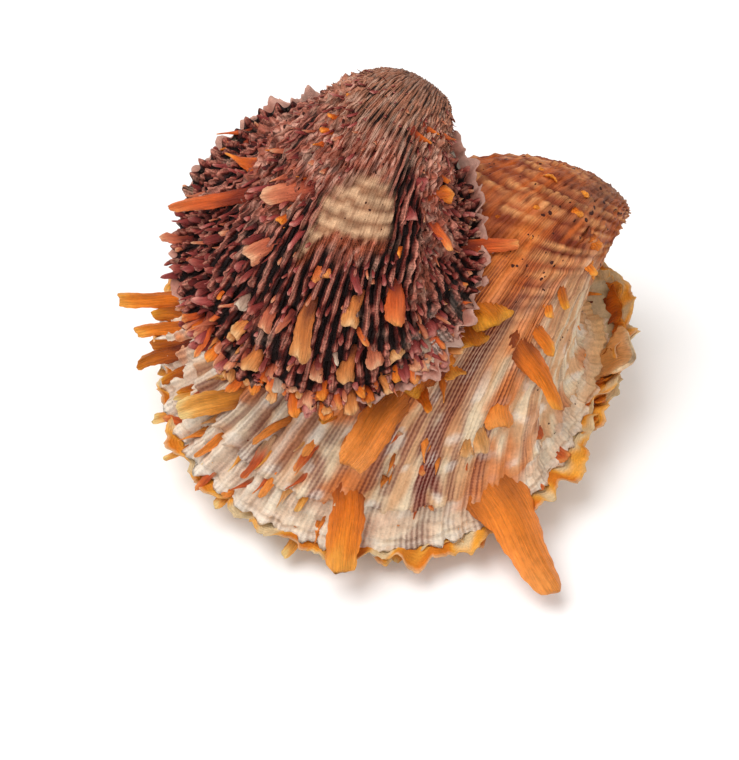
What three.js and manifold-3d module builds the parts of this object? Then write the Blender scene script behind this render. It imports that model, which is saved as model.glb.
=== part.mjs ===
// Two thorny oysters grown together: a large one that was cut flat from its rock, and a smaller
// one cemented on its back. Millimetres, +Z up, the shells' open edges lean toward -Y.
//
// An upper valve grows by adding rings. Each ring is an ellipse whose middle moves away from the
// beak, and the younger the shell was, the further its ring is tipped up about the hinge by the
// curl. A lower valve is a bowl of rings that widens from its foot, where it was fixed, to the
// open edge, with an ear on the hinge side that the upper beak lies over.

import * as THREE from "three";
import { mergeVertices } from "three/addons/utils/BufferGeometryUtils.js";
import Module from "manifold-3d";

const wasm = await Module();
wasm.setup();

// Puts the middle of the cluster's box over the origin.
const PLACE = [-2.25, -15.71];

// Middle and reach: the open edge's middle and half width and depth. Tilt and roll: the open
// edge's plane, in degrees.
const LARGE = { middle: [2.5, 20, 26], reach: [60, 57], tilt: 17, roll: 0 };
const SMALL = { middle: [-11, 13.5, 75.5], reach: [39, 40], tilt: 28, roll: -4 };

// Upper valves. Beak: where growth starts. Turn and curl: how far, in degrees, and how late the
// beak curls over. Widen: how soon the rings reach full width. Swell: extra height of the dome.
// Slant: the hinge line, degrees off square.
// Lower valves. Foot: middle of the foot. Stance: its half width and depth. Lean: its tilt.
// Ear: how far it stands out, as a share of the reach, and where it is around the edge.
const SHAPE = {
  large_upper_valve: { ...LARGE, beak: [68, 59, 32], slant: 30, turn: 110, curl: 2.25, widen: 0.7, swell: 8 },
  small_upper_valve: { ...SMALL, beak: [13.5, 53, 87], slant: 0, turn: 115, curl: 2.2, widen: 0.8, swell: 5 },
  large_lower_valve: { ...LARGE, reach: [59, 56], foot: [10, 26, 0], stance: [34, 32], lean: 0, ear: [0.18, 0.7] },
  small_lower_valve: { ...SMALL, reach: [38.5, 39.5], foot: [-1, 17, 58], stance: [19, 20], lean: 10, ear: [0.2, 0.59] },
};

const SWELL_POWER = 2.5; // how late the swell falls away toward the open edge
const RIB_HEIGHT = 0.012; // share of a ring's radius that a rib stands out
const WALL = 3; // thickness of a wall along the ring's plane
const WALL_DROP = 2.4; // thickness of a wall across the ring's plane
const LIP = 0.86; // growth stage where the inside begins, inward of the flat open edge
const BEAK = 0.42; // growth stage where an upper valve's inside ends, because a beak is solid
const FLOOR = 0.1; // growth stage where a lower valve's inside ends
const FLARE = 1.2; // how late a lower valve's wall rises
const EAR_WIDTH = 0.07; // half width of the ear, in turns round the edge
const CLOSED = 0.6; // how far the lower open edge lies under the upper one
const GAP = 0.4; // room kept between neighbouring valves
const AROUND = 48; // points round a ring
const OUTER_RINGS = 13;
const INNER_RINGS = 6;

// Main spines and frills: around (0 front, 0.25 left), grown (0 beak, 1 edge), length, width,
// lift off the surface in degrees, lean sideways (along around, as a slope).
const SPINES = {
  large_upper_valve: [
    [0.91, 0.84, 38, 17, 45, -0.4],
    [0.04, 0.78, 27, 9, 45, -0.3],
    [0.04, 0.57, 25, 10, 40, 0.1],
    [0.17, 0.72, 22, 6, 40, 0.4],
    [0.3, 0.91, 25, 5, 30, 0],
    [0.27, 0.87, 20, 4, 30, 0.1],
    [0.25, 0.9, 15, 4, 30, -0.1],
    [0.935, 0.47, 23, 8, 25, -0.8],
    [0.93, 0.58, 12, 9, 25, -0.2],
    [0.91, 0.28, 6, 5, 50, -1.2],
    [0.89, 0.33, 7, 5, 45, -0.7],
    [0.92, 0.37, 9, 5, 45, -0.3],
    [0.08, 0.2, 6, 5, 60, -0.2],
  ],
  small_upper_valve: [
    [0.25, 0.59, 23, 5, 25, 0.4],
    [0.15, 0.46, 13, 7, 30, 0.8],
    [0.29, 0.56, 12, 4, 30, 0.8],
    [0.15, 0.57, 9, 5, 35, 0.5],
    [0.925, 0.62, 11, 5, 35, 0.2],
    [0.06, 0.66, 15, 5, 30, -0.4],
    [0.76, 0.91, 16, 5, 20, -0.5],
    [0.85, 0.51, 10, 4, 35, -0.3],
  ],
  large_lower_valve: [
    [0.71, 0.84, 16, 14, 45, 0.1],
    [0.765, 0.84, 18, 13, 50, -0.1],
    [0.82, 0.84, 12, 10, 45, 0],
    [0.97, 0.84, 12, 12, 45, 0],
    [0.06, 0.84, 12, 10, 45, 0],
    [0.12, 0.84, 12, 9, 45, 0],
    [0.2, 0.84, 16, 6, 45, 0],
    [0.4, 0.84, 12, 12, 45, 0],
    [0.5, 0.84, 12, 12, 45, 0],
    [0.57, 0.84, 12, 12, 45, 0],
  ],
  small_lower_valve: [
    [0.22, 0.84, 10, 6, 45, 0],
    [0.3, 0.84, 10, 6, 45, 0],
    [0.41, 0.84, 11, 9, 45, 0],
    [0.67, 0.84, 11, 11, 45, 0],
    [0.72, 0.84, 11, 9, 45, 0],
    [0.86, 0.84, 10, 9, 45, 0],
  ],
};

const radians = THREE.MathUtils.degToRad;

const vector = (numbers) => new THREE.Vector3(...numbers);
const ellipse = (around, width, depth) => {
  const angle = 2 * Math.PI * around;
  return new THREE.Vector3(-Math.sin(angle) * width, -Math.cos(angle) * depth, 0);
};
const setting = (tilt, roll) =>
  new THREE.Quaternion().setFromEuler(new THREE.Euler(radians(tilt), radians(roll), 0, "ZYX"));

// A point of an upper valve. Inset and drop bring it in from the outer face, along the ring and
// across it.
function domePoint(valve, around, grown, inset = 0, drop = 0, rib = 1) {
  const set = setting(valve.tilt, valve.roll);
  const beak = vector(valve.beak);
  const toMiddle = vector(valve.middle).sub(beak).applyQuaternion(set.clone().invert());
  const away = Math.atan2(toMiddle.y, toMiddle.x) + radians(valve.slant);
  const hinge = new THREE.Vector3(Math.sin(away), -Math.cos(away), 0);
  const [width, depth] = valve.reach.map((r) => Math.max(r * grown ** valve.widen * rib - inset, 0));
  const point = ellipse(around, width, depth);
  point.z -= drop;
  point.addScaledVector(toMiddle, 1 - (1 - grown) ** 2);
  point.applyAxisAngle(hinge, radians(valve.turn) * (1 - grown) ** valve.curl);
  point.z += valve.swell * (1 - grown ** SWELL_POWER);
  return point.applyQuaternion(set).add(beak);
}

// A point of a lower valve, with the same inset and drop.
function bowlPoint(valve, around, grown, inset = 0, drop = 0, rib = 1) {
  const off = Math.abs(around - valve.ear[1]) / EAR_WIDTH;
  const ear = 1 + valve.ear[0] * Math.exp(-off * off) * grown ** 2;
  const mix = THREE.MathUtils.lerp;
  const [width, depth] = valve.reach.map((r, i) => mix(valve.stance[i], r * rib, grown) * ear - inset);
  const rise = grown ** FLARE;
  const set = setting(mix(valve.lean, valve.tilt, rise), valve.roll * rise);
  const point = ellipse(around, width, depth).applyQuaternion(set);
  point.z += drop - CLOSED * rise;
  return point.add(vector(valve.foot).lerp(vector(valve.middle), rise));
}

const pointOf = (valve, ...where) => (valve.foot ? bowlPoint : domePoint)(valve, ...where);

// A closed solid from rings of equal count, each end closed on a point of its own.
function solidOfRings(rings, first, last) {
  const count = rings[0].length;
  const points = [first, ...rings.flat(), last];
  const end = points.length - 1;
  const faces = [];
  for (let i = 0; i < count; i++) {
    const next = (i + 1) % count;
    faces.push([0, 1 + next, 1 + i]);
    for (let r = 0; r < rings.length - 1; r++) {
      const a = 1 + r * count + i;
      const b = 1 + r * count + next;
      faces.push([a, b, b + count], [a, b + count, a + count]);
    }
    const base = 1 + (rings.length - 1) * count;
    faces.push([end, base + i, base + next]);
  }
  let volume = 0;
  const cross = new THREE.Vector3();
  for (const [a, b, c] of faces) volume += points[a].dot(cross.crossVectors(points[b], points[c]));
  const outward = volume > 0 ? faces : faces.map(([a, b, c]) => [a, c, b]);
  const geometry = new THREE.BufferGeometry().setFromPoints(points);
  geometry.setIndex(outward.flat());
  const merged = mergeVertices(geometry, 1e-4);
  const vertProperties = new Float32Array(merged.attributes.position.array);
  const triVerts = new Uint32Array(merged.index.array);
  return new wasm.Manifold(new wasm.Mesh({ numProp: 3, vertProperties, triVerts }));
}

function ring(valve, grown, inset, drop, ribbed) {
  return Array.from({ length: AROUND }, (_, i) => {
    const rib = ribbed ? 1 + (i % 2 ? RIB_HEIGHT : 0) : 1;
    return pointOf(valve, i / AROUND, grown, inset, drop, rib);
  });
}

const middleOf = (points) => points.reduce((sum, p) => sum.add(p), new THREE.Vector3()).divideScalar(points.length);

function outerRings(valve) {
  return Array.from({ length: OUTER_RINGS }, (_, j) => {
    const grown = valve.foot ? j / (OUTER_RINGS - 1) : ((j + 1) / OUTER_RINGS) ** 1.3;
    return ring(valve, grown, 0, 0, true);
  });
}

const start = (valve) => (valve.foot ? vector(valve.foot) : domePoint(valve, 0, 0));

// The wall of a valve: the ribbed outside, the flat open edge and the plain inside.
function cup(valve) {
  const end = valve.foot ? FLOOR : BEAK;
  const inner = Array.from({ length: INNER_RINGS }, (_, j) => {
    const grown = LIP + ((end - LIP) * j) / (INNER_RINGS - 1);
    return ring(valve, grown, WALL, WALL_DROP, false);
  });
  return solidOfRings([...outerRings(valve), ...inner], start(valve), middleOf(inner.at(-1)));
}

// The valve's outside as a full body, a little larger, to cut room for it in its neighbour.
function room(valve) {
  const rings = outerRings(valve);
  const body = solidOfRings(rings, start(valve), middleOf(rings.at(-1)));
  const grow = 1 + GAP / Math.min(...valve.reach);
  const [x, y, z] = valve.middle;
  return body.translate([-x, -y, -z]).scale([grow, grow, grow]).translate([x, y, z]);
}

// A flat tapered spine rooted in the wall.
function spine(valve, [around, grown, length, width, lift, lean]) {
  const step = 0.001;
  const base = pointOf(valve, around, grown);
  const along = pointOf(valve, around, grown + step).sub(base).normalize();
  const across = pointOf(valve, around + step, grown).sub(base).normalize();
  const up = new THREE.Vector3().crossVectors(along, across).normalize();
  if (up.dot(base.clone().sub(pointOf(valve, around, grown, 1, 1))) < 0) up.negate();
  const way = along.multiplyScalar(Math.cos(radians(lift))).addScaledVector(up, Math.sin(radians(lift)));
  way.addScaledVector(across, lean).normalize();
  const side = new THREE.Vector3().crossVectors(way, up).normalize();
  const thick = new THREE.Vector3().crossVectors(side, way);
  const sections = [[-2.5, 1], [0.5 * length, 0.85], [length, 0.45]].map(([at, size]) =>
    Array.from({ length: 6 }, (_, i) => {
      const turn = (i * Math.PI) / 3;
      const point = base.clone().addScaledVector(way, at);
      point.addScaledVector(side, Math.cos(turn) * size * width * 0.5);
      return point.addScaledVector(thick, Math.sin(turn) * size * Math.min(width * 0.25, 2));
    }),
  );
  return solidOfRings(sections, middleOf(sections[0]), middleOf(sections.at(-1)));
}

function valveSolid(name) {
  const valve = SHAPE[name];
  return SPINES[name].reduce((solid, row) => solid.add(spine(valve, row)), cup(valve));
}

const largeUpper = valveSolid("large_upper_valve");
const smallUpper = valveSolid("small_upper_valve");
const largeRoom = room(SHAPE.large_upper_valve);
const smallRoom = room(SHAPE.small_upper_valve);
const largeLower = valveSolid("large_lower_valve").subtract(largeRoom).trimByPlane([0, 0, 1], 0);
const smallLower = valveSolid("small_lower_valve").subtract(smallRoom).subtract(largeRoom);

const COLOURS = {
  large_lower_valve: "#d9c49a",
  large_upper_valve: "#c98a5e",
  small_lower_valve: "#b9a29a",
  small_upper_valve: "#6b4643",
};

const SOLIDS = {
  large_lower_valve: largeLower,
  large_upper_valve: largeUpper,
  small_lower_valve: smallLower,
  small_upper_valve: smallUpper,
};

const cluster = new THREE.Group();
for (const [name, solid] of Object.entries(SOLIDS)) {
  const { vertProperties, triVerts } = solid.getMesh();
  const geometry = new THREE.BufferGeometry();
  geometry.setAttribute("position", new THREE.BufferAttribute(vertProperties, 3));
  geometry.setIndex(new THREE.BufferAttribute(triVerts, 1));
  geometry.computeVertexNormals();
  const material = new THREE.MeshStandardMaterial({ color: COLOURS[name], roughness: 0.8, metalness: 0 });
  const mesh = new THREE.Mesh(geometry, material);
  mesh.name = name;
  mesh.position.set(...PLACE, 0);
  cluster.add(mesh);
}

export default cluster;
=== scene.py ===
import math
import bpy
import numpy as np
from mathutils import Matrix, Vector


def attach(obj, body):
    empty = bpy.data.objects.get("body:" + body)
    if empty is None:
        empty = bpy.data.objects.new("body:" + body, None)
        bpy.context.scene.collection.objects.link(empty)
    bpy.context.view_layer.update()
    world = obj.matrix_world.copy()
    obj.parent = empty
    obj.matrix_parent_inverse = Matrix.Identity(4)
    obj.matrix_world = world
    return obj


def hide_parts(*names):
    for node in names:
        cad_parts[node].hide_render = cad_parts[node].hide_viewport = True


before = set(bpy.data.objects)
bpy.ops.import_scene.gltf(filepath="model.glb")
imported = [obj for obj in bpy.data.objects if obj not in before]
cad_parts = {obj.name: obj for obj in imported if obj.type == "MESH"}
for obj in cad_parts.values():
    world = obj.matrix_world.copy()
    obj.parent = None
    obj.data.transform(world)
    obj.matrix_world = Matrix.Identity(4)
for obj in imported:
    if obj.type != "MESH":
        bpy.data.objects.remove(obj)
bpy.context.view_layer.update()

# --- Large lower valve -------------------------------------------------------------------------
# The cupped half of the large shell, chalky calcite laid down in leafy layers. It was cemented to
# rock and is cut flat underneath. Its leaves stand out round the margin, below the upper valve.

# Sizes are in millimetres. A point of a valve has two coordinates that follow its growth:
# around, from 0 at the front by 0.25 at the left to 1, and grown, from 0 at the oldest shell to 1
# at the open edge.
MM = 0.001
PLACE = np.array([-2.25, -15.71, 0.0])
# How far the edge of a lower valve lies below the edge of its upper valve.
CLOSED = 0.6
# How far a bowl flares as it grows, and how much of the round its ear takes up.
FLARE = 1.2
EAR_WIDTH = 0.07
LARGE = {"middle": (2.5, 20, 26), "tilt": 17, "roll": 0}
LARGE_LOWER = {**LARGE, "reach": (59, 56), "foot": (10, 26, 0), "stance": (34, 32), "lean": 0,
               "ear": (0.18, 0.7)}


def colour(code):
    """An sRGB hex colour as linear red, green, blue."""
    value = np.array([int(code[i:i + 2], 16) for i in (1, 3, 5)]) / 255
    return np.where(value <= 0.04045, value / 12.92, ((value + 0.055) / 1.055) ** 2.4)


def smooth(low, high, value):
    """0 before low, 1 after high, eased between; low may be the larger."""
    t = np.clip((value - low) / (high - low), 0, 1)
    return t * t * (3 - 2 * t)


def ripple(around, grown, turns, rows, seed, waves=26):
    """Irregular swells, mostly within -1 to 1, that meet themselves round the edge."""
    rng = np.random.default_rng(seed)
    total = 0.0
    for _ in range(waves):
        phase = rng.integers(1, turns + 1) * around + rng.uniform(-rows, rows) * grown + rng.random()
        total = total + np.sin(2 * np.pi * phase)
    return total / math.sqrt(waves)


def away(around, centre):
    """Signed distance round the edge from centre, in turns."""
    return (around - centre + 0.5) % 1 - 0.5


def paint(base, *layers):
    """Linear colours: each layer is (hex colour, share from 0 to 1) laid over what is below."""
    out = base
    for code, share in layers:
        share = np.clip(share, 0, 1)[..., None]
        out = out * (1 - share) + colour(code) * share
    return out


def turned(points, axis, angle):
    """Points turned about an axis through the origin, each by its own angle."""
    cos, sin = np.cos(angle)[..., None], np.sin(angle)[..., None]
    along = (points @ axis)[..., None] * axis
    sideways = np.cross(np.broadcast_to(axis, points.shape), points)
    return points * cos + sideways * sin + along * (1 - cos)


def set_down(points, tilt, roll):
    """Points of a level ring, tilted and rolled to the open edge's plane."""
    tilted = turned(points, np.array([1.0, 0, 0]), np.radians(tilt))
    return turned(tilted, np.array([0, 1.0, 0]), np.radians(roll))


def level_ring(around, reach_x, reach_y):
    """Points of a level oval about the origin."""
    angle = 2 * np.pi * around
    return np.stack([-np.sin(angle) * reach_x, -np.cos(angle) * reach_y, 0 * angle], -1)


def bowl(valve, around, grown, inset=0.0, drop=0.0):
    """Points of a lower valve, from its foot out to the open edge, with an ear at the hinge."""
    around, grown = np.broadcast_arrays(around, grown)
    ear = 1 + valve["ear"][0] * np.exp(-(away(around, valve["ear"][1]) / EAR_WIDTH) ** 2) * grown ** 2
    reach = [(s + (r - s) * grown) * ear - inset for s, r in zip(valve["stance"], valve["reach"])]
    rise = np.maximum(grown, 0) ** FLARE
    tilt = valve["lean"] + (valve["tilt"] - valve["lean"]) * rise
    points = set_down(level_ring(around, *reach), tilt, valve["roll"] * rise)
    points[..., 2] += drop - CLOSED * rise
    foot, middle = np.array(valve["foot"]), np.array(valve["middle"])
    return points + foot + (middle - foot) * rise[..., None] + PLACE


def dome(valve, around, grown, inset=0.0, drop=0.0):
    """Points of an upper valve, from its curled beak out to the open edge."""
    around, grown = np.broadcast_arrays(around, grown)
    tilt, roll = np.full(grown.shape, valve["tilt"]), np.full(grown.shape, valve["roll"])
    reach = [np.maximum(r * np.maximum(grown, 0) ** valve["widen"] - inset, 0) for r in valve["reach"]]
    points = level_ring(around, *reach)
    points[..., 2] -= drop
    beak, middle = np.array(valve["beak"]), np.array(valve["middle"])
    shift = turned(middle - beak, np.array([0, 1.0, 0]), np.radians(-valve["roll"]))
    shift = turned(shift, np.array([1.0, 0, 0]), np.radians(-valve["tilt"]))
    points += shift * (1 - (1 - grown) ** 2)[..., None]
    heading = math.atan2(shift[1], shift[0]) + math.radians(valve["slant"])
    hinge = np.array([math.sin(heading), -math.cos(heading), 0])
    young = np.maximum(1 - grown, 0)
    points = turned(points, hinge, math.radians(valve["turn"]) * young ** valve["curl"])
    points[..., 2] += valve["swell"] * (1 - np.maximum(grown, 0) ** 2.5)
    return set_down(points, tilt, roll) + beak + PLACE


def unit(vectors):
    """Vectors brought to length 1."""
    return vectors / np.maximum(np.linalg.norm(vectors, axis=-1, keepdims=True), 1e-9)


def skin(valve, around, grown):
    """Surface points with the unit directions of growth, round the edge, and outward."""
    point_of, side = (bowl, -1) if "foot" in valve else (dome, 1)
    points = point_of(valve, around, grown)
    along = unit(point_of(valve, around, grown + 1e-3) - point_of(valve, around, grown - 1e-3))
    across = unit(point_of(valve, around + 1e-3, grown) - point_of(valve, around - 1e-3, grown))
    return points, along, across, unit(np.cross(across, along)) * side


def leaves(grown, edges, length):
    """Height of overlapping layers: each thickens toward its edge, then drops to the next."""
    total = 0.0
    for edge, height in edges:
        gap = edge - grown
        total = total + np.where(gap >= 0, height * np.exp(-np.maximum(gap, 0) / length), 0)
    return total


def add(material, kind, settings=None, links=None):
    """One shader node, with its settings and what feeds its sockets."""
    made = material.node_tree.nodes.new("ShaderNode" + kind)
    for key, value in (settings or {}).items():
        if isinstance(key, int) or key in made.inputs:
            made.inputs[key].default_value = value
        else:
            setattr(made, key, value)
    for key, source in (links or {}).items():
        material.node_tree.links.new(source, made.inputs[key])
    return made


def new_material(name):
    """A material with no nodes yet."""
    material = bpy.data.materials.new(name)
    material.use_nodes = True
    material.node_tree.nodes.clear()
    return material


def lofts(name, loops, caps, values, tones, material, uv=None):
    """Closed bodies in one mesh. loops: body, row, point round the row, xyz. caps: two points a
    body. values and tones: what each point carries for the material, as numbers and colours."""
    bodies, rows, sides = loops.shape[:3]
    ring = bodies * rows * sides
    points = np.concatenate([loops.reshape(-1, 3), caps.reshape(-1, 3)]) * MM
    index = np.arange(ring).reshape(bodies, rows, sides)
    after = np.roll(index, -1, 2)
    quads = np.stack([index[:, :-1], after[:, :-1], after[:, 1:], index[:, 1:]], -1).reshape(-1, 4)
    first = np.broadcast_to(ring + 2 * np.arange(bodies)[:, None], (bodies, sides))
    start = np.stack([first, after[:, 0], index[:, 0]], -1).reshape(-1, 3)
    end = np.stack([first + 1, index[:, -1], after[:, -1]], -1).reshape(-1, 3)
    corners = np.concatenate([quads.ravel(), start.ravel(), end.ravel()])
    sizes = np.concatenate([np.full(len(quads), 4), np.full(len(start) + len(end), 3)])
    mesh = bpy.data.meshes.new(name)
    mesh.vertices.add(len(points))
    mesh.vertices.foreach_set("co", points.ravel())
    mesh.loops.add(len(corners))
    mesh.loops.foreach_set("vertex_index", corners.astype(np.int32))
    mesh.polygons.add(len(sizes))
    starts = np.concatenate([[0], np.cumsum(sizes)[:-1]])
    mesh.polygons.foreach_set("loop_start", starts.astype(np.int32))
    mesh.polygons.foreach_set("use_smooth", np.ones(len(sizes), bool))
    mesh.update(calc_edges=True)
    for key, value in values.items():
        flat = value.reshape(bodies, -1)
        full = np.concatenate([flat.ravel(), flat[:, [0, -1]].ravel()]).astype(np.float32)
        mesh.attributes.new(key, "FLOAT", "POINT").data.foreach_set("value", full)
    ends = tones.reshape(bodies, -1, 3)[:, [0, -1]].reshape(-1, 3)
    rgb = np.concatenate([tones.reshape(-1, 3), ends])
    rgba = np.concatenate([rgb, np.ones((len(points), 1))], 1).astype(np.float32)
    mesh.attributes.new("tone", "FLOAT_COLOR", "POINT").data.foreach_set("color", rgba.ravel())
    # The map runs round and along each body; its last column joins the first without folding back.
    if uv is None:
        side = math.ceil(math.sqrt(bodies))
        cell = np.stack([np.arange(bodies) % side, np.arange(bodies) // side], -1)[:, None, None] / side
        u, v = np.meshgrid(np.linspace(0, 0.96, sides + 1), np.linspace(0.02, 0.96, rows))
        uv = cell + np.stack([u, v], -1)[None] / side
    quad_uv = np.stack([uv[:, :-1, :-1], uv[:, :-1, 1:], uv[:, 1:, 1:], uv[:, 1:, :-1]], -2)
    start_uv = np.stack([uv[:, 0, :-1], uv[:, 0, 1:], uv[:, 0, :-1]], -2)
    end_uv = np.stack([uv[:, -1, :-1], uv[:, -1, :-1], uv[:, -1, 1:]], -2)
    all_uv = np.concatenate([part.ravel() for part in (quad_uv, start_uv, end_uv)])
    mesh.uv_layers.new(name="growth").data.foreach_set("uv", all_uv.astype(np.float32))
    mesh.materials.append(material)
    piece = bpy.data.objects.new(name, mesh)
    bpy.context.scene.collection.objects.link(piece)
    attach(piece, "root")
    return piece


# A wall has ROUND points in each row, unless a section says otherwise, and INSIDE_ROWS rows inside.
# Its inside is drawn in by WALL, and lies WALL_DROP under the outside, or above it in a lower valve.
ROUND = 720
INSIDE_ROWS = 7
WALL = 3.0
WALL_DROP = 2.4
# How far grown the shell is where the inside ends, in a lower and in an upper valve.
LOWER_INSIDE = 0.1
UPPER_INSIDE = 0.42


def grid(rows, power, first=0.0, columns=ROUND):
    """Around and grown for every point of a wall's outside."""
    around = np.arange(columns)[None, :] / columns
    grown = (first + (1 - first) * np.linspace(0, 1, rows) ** power)[:, None]
    return np.broadcast_arrays(around, grown)


def wall(name, valve, around, grown, height, jut, values, tone, material):
    """A valve's wall: the outside raised by height, its edge drawn out by jut, and the inside."""
    points, along, _, up = skin(valve, around, grown)
    points = points + up * height[..., None] + along * jut[..., None]
    point_of, begin = (bowl, LOWER_INSIDE) if "foot" in valve else (dome, UPPER_INSIDE)
    inner_around = np.broadcast_to(around[0], (INSIDE_ROWS, around.shape[1]))
    inner_grown = np.linspace(0.9, begin, INSIDE_ROWS)[:, None] + 0 * inner_around
    inner = point_of(valve, inner_around, inner_grown, WALL, WALL_DROP)
    loops = np.concatenate([points, inner])
    if "foot" in valve and valve["foot"][2] == 0:
        loops[..., 2] = np.maximum(loops[..., 2], 0)
    caps = np.stack([points[0].mean(0), inner[-1].mean(0)])
    # The smooth inside is porcelain-like calcite, a warm cream.
    porcelain = np.broadcast_to(colour("#d8c29e"), (*inner_around.shape, 3))
    tones = np.concatenate([tone, porcelain])
    full = {key: np.concatenate([value, 0 * inner_around]) for key, value in values.items()}
    columns = around.shape[1]
    u = np.broadcast_to(np.arange(columns + 1) / columns, (len(loops), columns + 1))
    v = np.concatenate([grown[:, 0], 1 + 0.02 * np.arange(1, INSIDE_ROWS + 1)])[:, None] + 0 * u
    uv = np.stack([u, v], -1)[None]
    if "foot" in valve:
        loops, tones, uv = loops[:, ::-1], tones[:, ::-1], uv[:, :, ::-1]
        full = {key: value[:, ::-1] for key, value in full.items()}
    full = {key: value[None] for key, value in full.items()}
    return lofts(name, loops[None], caps[None], full, tones[None], material, uv)


# A wave texture has one band across the map at this Scale.
ONE_BAND = 0.314
# Chalky blotches and the finer flecks on them. Both are drawn coarser than a shell's real grain,
# which is too fine to show.
GRAIN = 3.85
FLECK = 0.714


def shell_material(name, edge, riblet, span, line, groove, mottle, bump, roughness, pinholes=0.0,
                   band=None):
    """Calcite shell, matt and a little uneven. Its colour comes with the mesh, and fine riblets
    and growth lines cross on it, with painted shade between them. edge and span: how far it is
    round the open edge and from the oldest shell to it. riblet and line: how far apart the two
    are. groove: how dark the painted shade between them is. pinholes: how far apart the holes
    are that worms and sponges bored; each is painted as a dark spot of shade. band: colour of its
    rays."""
    m = new_material(name)
    riblets = round(edge / riblet)
    lines = round(span / line)
    tone = add(m, "Attribute", {"attribute_name": "tone"})
    fine = add(m, "Attribute", {"attribute_name": "fine"})
    growth = add(m, "UVMap", {"uv_map": "growth"})
    place = add(m, "TexCoord")
    rib = add(m, "TexWave", {"bands_direction": "X", "Scale": riblets * ONE_BAND, "Distortion": 0.7,
                             "Detail": 1.0, "Detail Scale": 1.0}, {"Vector": growth.outputs["UV"]})
    ring = add(m, "TexWave", {"bands_direction": "Y", "Scale": lines * ONE_BAND, "Distortion": 1.6,
                              "Detail": 2.0, "Detail Scale": 1.6}, {"Vector": growth.outputs["UV"]})
    grain = add(m, "TexNoise", {"Scale": 1 / (GRAIN * MM), "Detail": 6.0, "Roughness": 0.62},
                {"Vector": place.outputs["Object"]})
    fleck = add(m, "TexNoise", {"Scale": 1 / (FLECK * MM), "Detail": 4.0, "Roughness": 0.6},
                {"Vector": place.outputs["Object"]})
    weave = add(m, "Mix", {"data_type": "FLOAT", 0: 0.24},
                {2: rib.outputs["Fac"], 3: ring.outputs["Fac"]})
    # Painted shade: the colour is darkened between the riblets and growth lines, where their grooves lie
    # in shade.
    dark = add(m, "MapRange", {"From Min": 0.15, "From Max": 0.62, "To Min": groove, "To Max": 1.0},
               {"Value": weave.outputs[0]})
    eased = add(m, "Mix", {"data_type": "FLOAT", 2: 1.0},
                {0: fine.outputs["Fac"], 3: dark.outputs[0]})
    ground = tone.outputs["Color"]
    if band:
        share = add(m, "Attribute", {"attribute_name": "band"})
        threads = add(m, "MapRange", {"From Min": 0.2, "From Max": 0.75, "To Min": 1.2, "To Max": 0.35},
                      {"Value": weave.outputs[0]})
        amount = add(m, "Math", {"operation": "MULTIPLY", "use_clamp": True},
                     {0: threads.outputs[0], 1: share.outputs["Fac"]})
        banded = add(m, "Mix", {"data_type": "RGBA", 7: (*colour(band), 1)},
                     {0: amount.outputs[0], 6: ground})
        ground = banded.outputs[2]
    wear_and_groove_shade = add(m, "Mix", {"data_type": "RGBA", "blend_type": "MULTIPLY", 0: 1.0},
               {6: ground, 7: eased.outputs[0]})
    patchy = add(m, "MapRange", {"From Min": 0.32, "From Max": 0.68, "To Min": 1 - mottle,
                                 "To Max": 1 + mottle}, {"Value": grain.outputs["Fac"]})
    spotty = add(m, "MapRange", {"From Min": 0.3, "From Max": 0.7, "To Min": 0.86, "To Max": 1.12},
                 {"Value": fleck.outputs["Fac"]})
    both = add(m, "Math", {"operation": "MULTIPLY"}, {0: patchy.outputs[0], 1: spotty.outputs[0]})
    colours = add(m, "Mix", {"data_type": "RGBA", "blend_type": "MULTIPLY", 0: 1.0},
                  {6: wear_and_groove_shade.outputs[2], 7: both.outputs[0]})
    final = colours.outputs[2]
    if pinholes:
        bored = add(m, "Attribute", {"attribute_name": "bored"})
        cells = add(m, "TexVoronoi", {"Scale": 1 / (pinholes * MM), "Randomness": 1.0},
                    {"Vector": place.outputs["Object"]})
        uneven = add(m, "MapRange", {"From Min": 0.35, "From Max": 0.65, "To Min": 0.1, "To Max": 0.34},
                     {"Value": grain.outputs["Fac"]})
        size = add(m, "Math", {"operation": "MULTIPLY"},
                   {0: bored.outputs["Fac"], 1: uneven.outputs[0]})
        hole = add(m, "Math", {"operation": "LESS_THAN"},
                   {0: cells.outputs["Distance"], 1: size.outputs[0]})
        # Painted shade: each pinhole is a dark spot in the colour, not a hole cut in the mesh.
        painted_hole_shade = add(m, "Mix", {"data_type": "RGBA", 7: (*colour("#3c150a"), 1)},
                      {0: hole.outputs[0], 6: final})
        final = painted_hole_shade.outputs[2]
    relief = add(m, "Math", {"operation": "MULTIPLY"}, {0: weave.outputs[0], 1: fine.outputs["Fac"]})
    rough = add(m, "Math", {"operation": "MULTIPLY_ADD", 1: 0.9},
                {0: grain.outputs["Fac"], 2: relief.outputs[0]})
    lumps = add(m, "Math", {"operation": "MULTIPLY_ADD", 1: 0.5},
                {0: fleck.outputs["Fac"], 2: rough.outputs[0]})
    normal = add(m, "Bump", {"Strength": bump, "Distance": 0.0009}, {"Height": lumps.outputs[0]})
    shader = add(m, "BsdfPrincipled", {"Roughness": roughness, "IOR": 1.53, "Specular IOR Level": 0.2},
                 {"Base Color": final, "Normal": normal.outputs[0]})
    add(m, "OutputMaterial", {}, {"Surface": shader.outputs[0]})
    return m


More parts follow.
